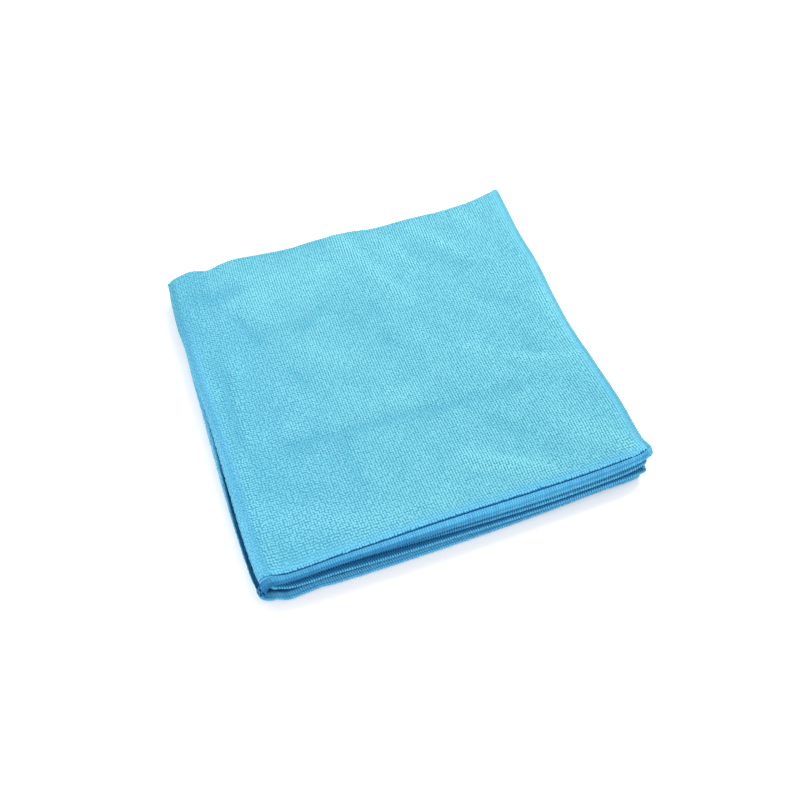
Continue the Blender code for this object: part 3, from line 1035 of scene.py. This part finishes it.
def pile_material():
    """Looped microfibre: each loop a little lighter or darker, with painted shade towards its
    root.
    """
    look = Look("looped_pile", PILE_SURFACE)
    tone_and_painted_light = look.stored("tone_and_painted_light")
    single = look.between(tone_and_painted_light, PILE_DARK, PILE_LIGHT)
    ribbed = look.between(tone_and_painted_light, RIB_DARK, RIB_LIGHT)
    by_ribs = look.between(look.stored("ribs"), single, ribbed)
    # Bluer where the hems press the pile, and painted bluish light on the left fold's ridge.
    pressed_or_lit = look.between(tone_and_painted_light, FLEECE_OR_LIT_DARK, FLEECE_OR_LIT_LIGHT)
    banded = look.between(look.stored("pressed_or_lit"), by_ribs, pressed_or_lit)
    # Painted shade towards each loop's root, and painted deep shade in the crevice.
    by_tip = look.between(look.stored("tip"), PILE_ROOT, banded)
    shaded = look.between(look.stored("crevice"), by_tip, CREVICE)
    look.links.new(shaded, look.inputs["Base Color"])
    look.inputs["Sheen Weight"].default_value = SHEEN_WEIGHT
    look.inputs["Sheen Roughness"].default_value = SHEEN_ROUGHNESS
    look.inputs["Sheen Tint"].default_value = SHEEN_TINT
    return look.material


def ground_material():
    """The knitted ground between the loops, in painted shade, dark in the hem's lines and in the
    crevice.
    """
    look = Look("knitted_ground", GROUND_SURFACE)
    # Darker than the pile, as painted shade between the loops.
    ground = look.between(look.noise(GROUND_GRAIN), GROUND_DARK, GROUND_LIGHT)
    # Bluer where the hems press it, and painted bluish light on the left fold's ridge.
    pressed_or_lit = look.between(look.noise(PRESSED_GRAIN), FLEECE_OR_LIT_DARK, FLEECE_OR_LIT_LIGHT)
    banded = look.between(look.stored("pressed_or_lit"), ground, pressed_or_lit)
    # Painted shade in the hem's lines and between the layers, and painted deep shade in the
    # crevice.
    shaded = look.between(look.stored("recess"), banded, RECESS)
    shaded = look.between(look.stored("crevice"), shaded, CREVICE)
    look.links.new(shaded, look.inputs["Base Color"])
    return look.material


def thread_material():
    """The overlock's fluffy thread, a little bluer than the pile, with painted shade where less
    lit.
    """
    look = Look("overlock_thread", THREAD_SURFACE)
    fibres = look.noise(THREAD_GRAIN)
    thread = look.between(fibres, THREAD_DARK, THREAD_LIGHT)
    shaded = look.between(look.stored("light"), RECESS, thread)
    look.links.new(shaded, look.inputs["Base Color"])
    bump = look.nodes.new("ShaderNodeBump")
    bump.inputs["Strength"].default_value = THREAD_BUMP
    bump.inputs["Distance"].default_value = THREAD_BUMP_DEPTH
    look.links.new(fibres, bump.inputs["Height"])
    look.links.new(bump.outputs["Normal"], look.inputs["Normal"])
    return look.material


def camera():
    data = bpy.data.cameras.new("camera")
    data.lens = CAMERA_LENS
    data.sensor_width = CAMERA_SENSOR
    thing = bpy.data.objects.new("camera", data)
    right, ahead = Vector(CAMERA_RIGHT).normalized(), Vector(CAMERA_AHEAD).normalized()
    up = right.cross(ahead)
    turn = Matrix((right, up, -ahead)).transposed().to_4x4()
    thing.matrix_world = Matrix.Translation(CAMERA_PLACE) @ turn
    bpy.context.scene.collection.objects.link(thing)
    bpy.context.scene.camera = thing


def area_light(light):
    data = bpy.data.lights.new(light.name, "AREA")
    data.shape = "DISK"
    data.size = light.size
    data.energy = light.power
    data.color = light.colour
    thing = bpy.data.objects.new(light.name, data)
    thing.location = light.place
    thing.rotation_euler = (-Vector(light.place)).to_track_quat("-Z", "Y").to_euler()
    bpy.context.scene.collection.objects.link(thing)


def studio():
    """A plain white floor under soft light that comes from behind the cloth, on its right."""
    mesh = bpy.data.meshes.new("floor")
    corners = ((-1.0, -1.0), (1.0, -1.0), (1.0, 1.0), (-1.0, 1.0))
    points = [(x * FLOOR_REACH, y * FLOOR_REACH, 0.0) for x, y in corners]
    mesh.from_pydata(points, [], [(0, 1, 2, 3)])
    floor = bpy.data.objects.new("floor", mesh)
    look = Look("white_floor", FLOOR_SURFACE)
    look.inputs["Base Color"].default_value = (*FLOOR_COLOUR, 1.0)
    mesh.materials.append(look.material)
    bpy.context.scene.collection.objects.link(floor)

    world = bpy.data.worlds.new("studio")
    bpy.context.scene.world = world
    world.use_nodes = True
    background = world.node_tree.nodes["Background"]
    background.inputs["Color"].default_value = (1.0, 1.0, 1.0, 1.0)
    background.inputs["Strength"].default_value = WORLD_LIGHT
    for light in LIGHTS:
        area_light(light)
    bpy.context.scene.view_settings.view_transform = "Standard"


def pile_pieces(material, random):
    """The pile of the outer faces: the upper layers' in parts, and the lowest layer's."""
    waves = mottle_waves(random)
    fine, plain = tuft(*FINE_TUFT), tuft(*PLAIN_TUFT)
    wales = pile_stations(LEFT_TURN, FOLD_WALES, WALE_PITCH, PILE_START_RIGHT)
    courses = pile_stations(FAR_TURN, FOLD_COURSES, COURSE_PITCH, PILE_START_NEAR)
    pieces = []
    for number, part in enumerate(np.array_split(wales, UPPER_PARTS), 1):
        name = f"pile_upper_{number}"
        pieces.append(loops(name, *np.meshgrid(part, courses), fine, waves, material, random))
    lower_wales = -wales[FOLD_WALES:]
    lower_fold = np.meshgrid(lower_wales, courses[:FOLD_COURSES])
    lower_flat = np.meshgrid(lower_wales, courses[FOLD_COURSES:])
    pieces.append(loops("pile_lower_fold", *lower_fold, fine, waves, material, random))
    pieces.append(loops("pile_lower", *lower_flat, plain, waves, material, random))
    return pieces


def main():
    camera()
    studio()
    random = np.random.default_rng(SEED)
    ground, pile, thread = ground_material(), pile_material(), thread_material()
    cloth = panel(ground)
    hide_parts("cloth")
    pieces = pile_pieces(pile, random)
    for edge in EDGES:
        material = thread if edge.startswith("near") else pile
        pieces.append(hem_threads(edge, material, random))


main()
